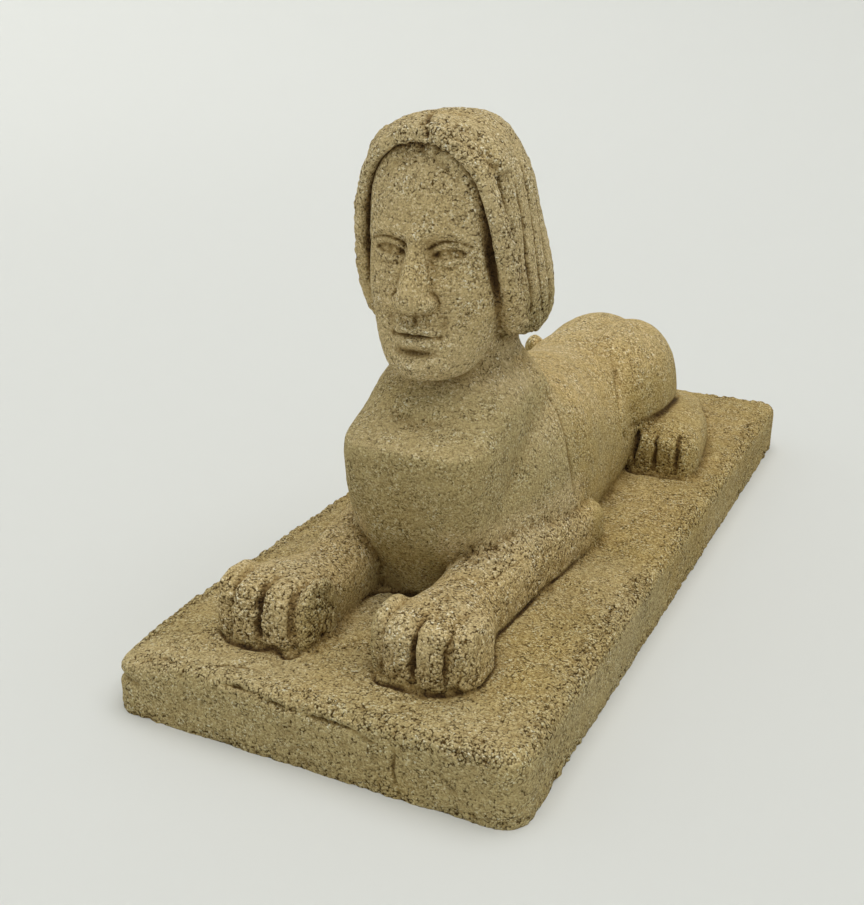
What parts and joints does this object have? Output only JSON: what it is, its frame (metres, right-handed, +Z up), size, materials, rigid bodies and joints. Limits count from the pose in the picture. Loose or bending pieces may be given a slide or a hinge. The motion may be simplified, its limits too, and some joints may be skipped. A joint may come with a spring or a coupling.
{
  "type": "sphinx sculpture",
  "caption": "Lying sphinx with a human head and bobbed hair on a rectangular slab, carved as one mass of bonded coarse sand.",
  "frame": {"origin": "middle of the slab's flat underside", "axes": "+Z up, -Y the way the sphinx looks, +X its left side"},
  "size_m": [0.303, 0.7474, 0.389],
  "materials": {
    "sand": "bonded coarse sand, matt and granular"
  },
  "bodies": {
    "root": {"sphinx": "sand"}
  },
  "joints": []
}
